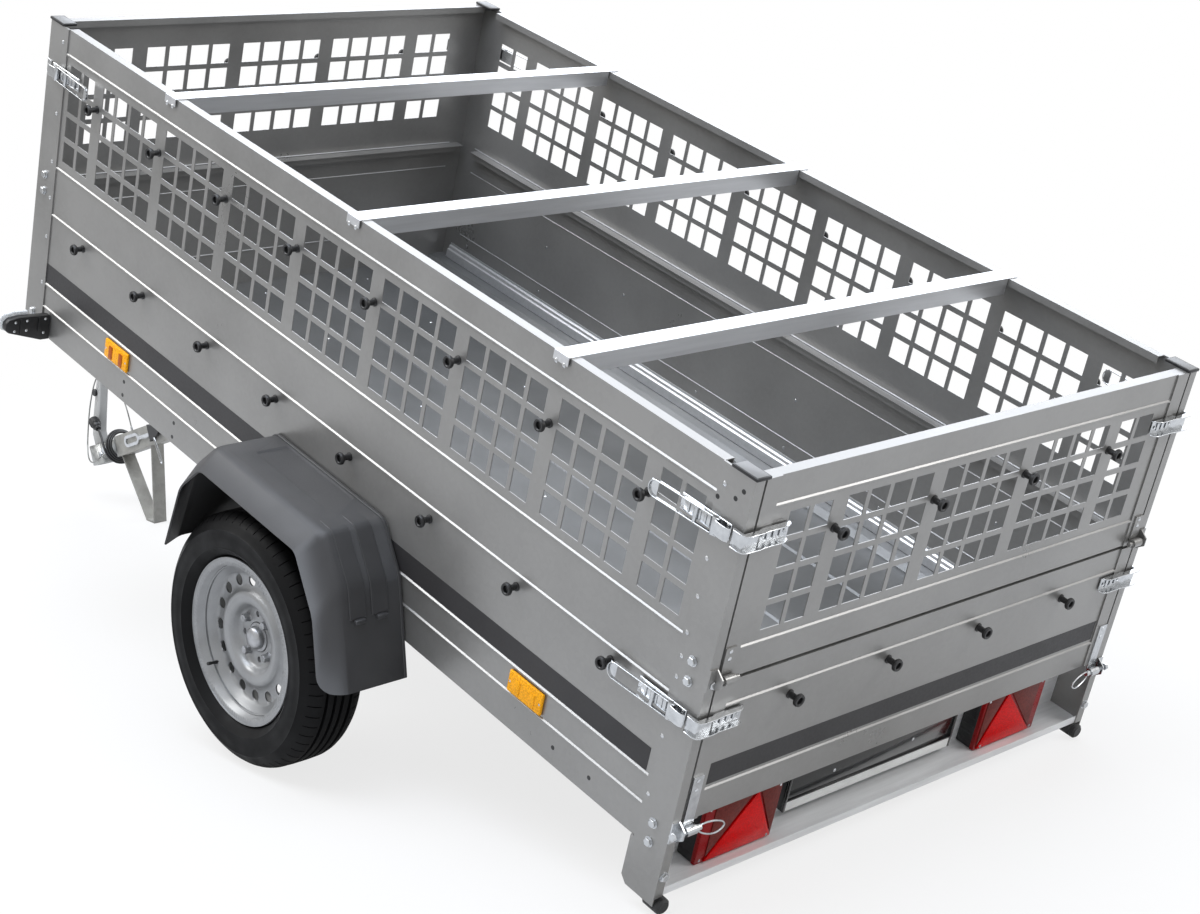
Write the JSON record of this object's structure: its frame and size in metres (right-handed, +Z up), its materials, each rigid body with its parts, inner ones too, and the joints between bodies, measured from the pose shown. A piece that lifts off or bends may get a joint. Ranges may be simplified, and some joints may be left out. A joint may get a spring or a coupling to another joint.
{
  "type": "utility trailer",
  "caption": "Single-axle tipping utility trailer with a galvanised box, mesh extension walls, hinged tailgate and a break-neck drawbar, standing tipped back.",
  "frame": {"origin": "on the ground, under the middle of the trailer's overall length and width as it stands", "axes": "+X forwards towards the coupling, +Y to the trailer's left, +Z up from the ground"},
  "size_m": [3.3517, 1.7, 1.5093],
  "materials": {
    "galvanised": "hot-dip galvanised, satin",
    "dark_floor": "dark coated sheet, satin",
    "zinc": "bright zinc plated",
    "black_plastic": "moulded, fine grain",
    "red_lens": "moulded reflex lens",
    "amber_reflector": "moulded reflex lens",
    "clear_lens": "moulded clear lens over white",
    "tyre": "moulded rubber",
    "silver_wheel": "silver paint",
    "hub_casting": "painted casting",
    "coupling_steel": "zinc plated pressing",
    "grey_handle": "grey coated lever"
  },
  "bodies": {
    "box": {"side_wall_left": "galvanised", "side_wall_right": "galvanised", "front_wall": "galvanised", "mesh_side_left": "galvanised", "mesh_side_right": "galvanised", "mesh_front": "galvanised", "front_posts": "galvanised", "rear_posts": "galvanised", "front_extension_posts": "galvanised", "rear_extension_posts": "galvanised", "cross_bars": "galvanised", "floor_members": "galvanised", "chassis_rails": "galvanised", "rear_rail": "galvanised", "axle_brackets": "galvanised", "drawbar_bracket": "galvanised", "axle_beam": "galvanised", "swing_arms": "galvanised", "floor": "dark_floor", "over_centre_latches": "zinc", "mesh_front_keepers": "zinc", "tailgate_hinge_pins": "zinc", "mesh_hinge_pins": "zinc", "drawbar_hinge_pin": "zinc", "post_caps": "black_plastic", "rear_buffers": "black_plastic", "rear_lamp_housings": "black_plastic", "number_plate_holder": "black_plastic", "front_lamps": "black_plastic", "fender_left": "black_plastic", "fender_right": "black_plastic", "rear_lamp_lenses": "red_lens", "side_reflectors": "amber_reflector", "front_lamp_lenses": "clear_lens"},
    "wheel_left": {"tyre_left": "tyre", "wheel_left": "silver_wheel", "hub_left": "hub_casting"},
    "wheel_right": {"tyre_right": "tyre", "wheel_right": "silver_wheel", "hub_right": "hub_casting"},
    "tailgate": {"tailgate": "galvanised", "tailgate_keepers": "zinc", "tailgate_hinge_straps": "zinc"},
    "rear_mesh": {"mesh_rear": "galvanised", "mesh_rear_keepers": "zinc", "mesh_hinge_straps": "zinc"},
    "drawbar": {"drawbar_beam": "galvanised", "drawbar_foot": "zinc", "coupling": "coupling_steel", "coupling_handle": "grey_handle", "lock_lever": "zinc", "lock_guard": "black_plastic", "lead_gland": "black_plastic", "lead": "black_plastic", "lead_coil": "black_plastic", "lead_tail": "black_plastic", "lead_plug": "black_plastic", "safety_cable": "zinc", "cable_eyes": "zinc"}
  },
  "joints": [
    {"name": "wheel_left_spin", "type": "hinge", "parent": "box", "child": "wheel_left", "pos_m": [-0.35787, 0.75, 0.2735], "axis": [0, 1, 0], "continuous": true},
    {"name": "wheel_right_spin", "type": "hinge", "parent": "box", "child": "wheel_right", "pos_m": [-0.35787, -0.75, 0.2735], "axis": [0, 1, 0], "continuous": true},
    {"name": "drawbar_tip", "type": "hinge", "parent": "box", "child": "drawbar", "pos_m": [0.48475, 0, 0.57625], "axis": [0, -1, 0], "range_deg": [0, 36.2]},
    {"name": "tailgate_drop", "type": "hinge", "parent": "box", "child": "tailgate", "pos_m": [-1.49116, 0, 0.17511], "axis": [0, -1, 0], "range_deg": [0, 100]},
    {"name": "rear_mesh_drop", "type": "hinge", "parent": "box", "child": "rear_mesh", "pos_m": [-1.57749, 0, 0.48429], "axis": [0, -1, 0], "range_deg": [0, 90]}
  ]
}
